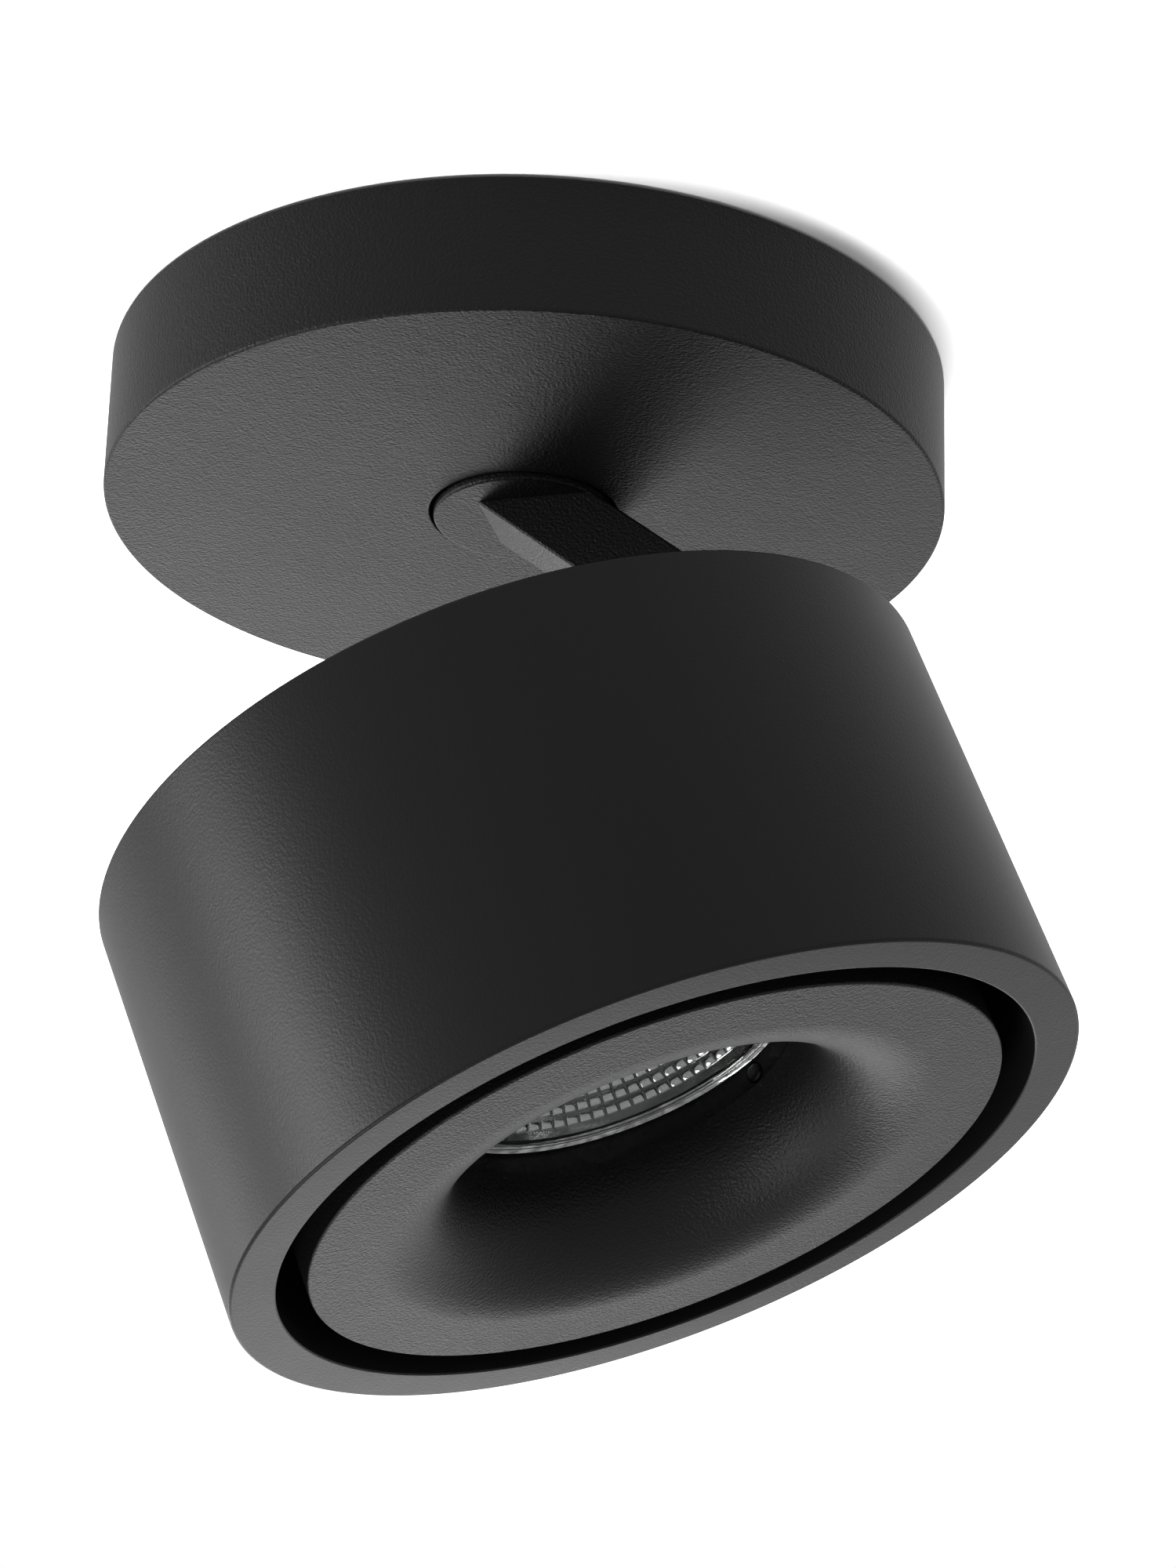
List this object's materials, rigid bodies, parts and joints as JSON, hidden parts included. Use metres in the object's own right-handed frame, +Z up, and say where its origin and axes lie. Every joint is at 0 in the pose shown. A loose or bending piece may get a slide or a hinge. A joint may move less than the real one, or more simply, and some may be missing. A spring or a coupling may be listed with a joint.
{
  "type": "ceiling spotlight",
  "caption": "Black ceiling spotlight: a round canopy, a swivelling arm and a drum-shaped head that tilts, with a deep flared trim round a faceted reflector.",
  "frame": {"origin": "centre of the canopy's rim in the ceiling plane", "axes": "+Z up into the ceiling, +X the way the arm leans at rest, the tilt hinge lies along Y"},
  "size_m": [0.1148, 0.1, 0.1194],
  "materials": {
    "powder_coat": "die-cast aluminium, matt black powder coat with a fine grain",
    "galvanised_steel": "zinc-plated steel sheet, satin",
    "zinc_screws": "bright zinc plate",
    "black_steel": "blackened steel, satin",
    "spring_steel": "spring steel, satin",
    "brass_screws": "nickel-free brass, satin",
    "rubber": "soft black rubber",
    "cast_sink": "as-cast aluminium, fine blasted",
    "white_plastic": "moulded white plastic, fine texture",
    "nylon": "natural nylon, satin",
    "grey_pad": "soft grey heat-conducting pad",
    "board": "aluminium board with white solder mask",
    "phosphor": "yellow phosphor under clear silicone",
    "metallised": "vacuum-metallised facets, mirror bright",
    "clear_cover": "clear polished cover",
    "black_gloss": "black moulded plastic, semi-gloss",
    "lead_jacket": "plastic jacket, one blue and one brown",
    "earth_jacket": "plastic jacket, green with a yellow band",
    "cord_jacket": "black silicone jacket"
  },
  "bodies": {
    "ceiling_base": {"mounting_bracket": "galvanised_steel", "bracket_grommet": "rubber", "canopy": "powder_coat", "lock_screw": "black_steel", "stop_pin": "black_steel", "slide_ring": "nylon", "terminal_block": "white_plastic", "terminal_screws": "brass_screws", "cable_clamp": "white_plastic", "clamp_screws": "zinc_screws", "earth_lug": "zinc_screws", "earth_screw": "zinc_screws", "driver_case": "white_plastic", "driver_lid": "white_plastic", "driver_screws": "zinc_screws", "mains_leads": "lead_jacket", "earth_lead": "earth_jacket", "driver_cord": "cord_jacket"},
    "swivel": {"swivel_arm": "powder_coat", "keyed_washer": "zinc_screws", "swivel_spring": "spring_steel", "swivel_nut": "zinc_screws", "hinge_screws": "zinc_screws", "friction_washers": "nylon", "hinge_springs": "spring_steel", "arm_cord": "cord_jacket"},
    "head": {"head_housing": "powder_coat", "hinge_bracket": "galvanised_steel", "bracket_screws": "zinc_screws", "heat_sink": "cast_sink", "sink_screws": "zinc_screws", "trim_clips": "spring_steel", "thermal_pad": "grey_pad", "led_board": "board", "led_emitter": "phosphor", "led_holder": "white_plastic", "holder_screws": "zinc_screws", "reflector": "metallised", "lens": "clear_cover", "optic_barrel": "black_gloss", "barrel_screws": "zinc_screws", "lens_retainers": "black_steel", "trim_ring": "powder_coat", "head_cord": "cord_jacket"}
  },
  "joints": [
    {"name": "pan", "type": "hinge", "parent": "ceiling_base", "child": "swivel", "pos_m": [0, 0, -0.0168], "axis": [0, 0, 1], "range_deg": [-170, 170]},
    {"name": "tilt", "type": "hinge", "parent": "swivel", "child": "head", "pos_m": [0.03958, 0, -0.04691], "axis": [0, -1, 0], "range_deg": [-21.36, 48.64]}
  ]
}
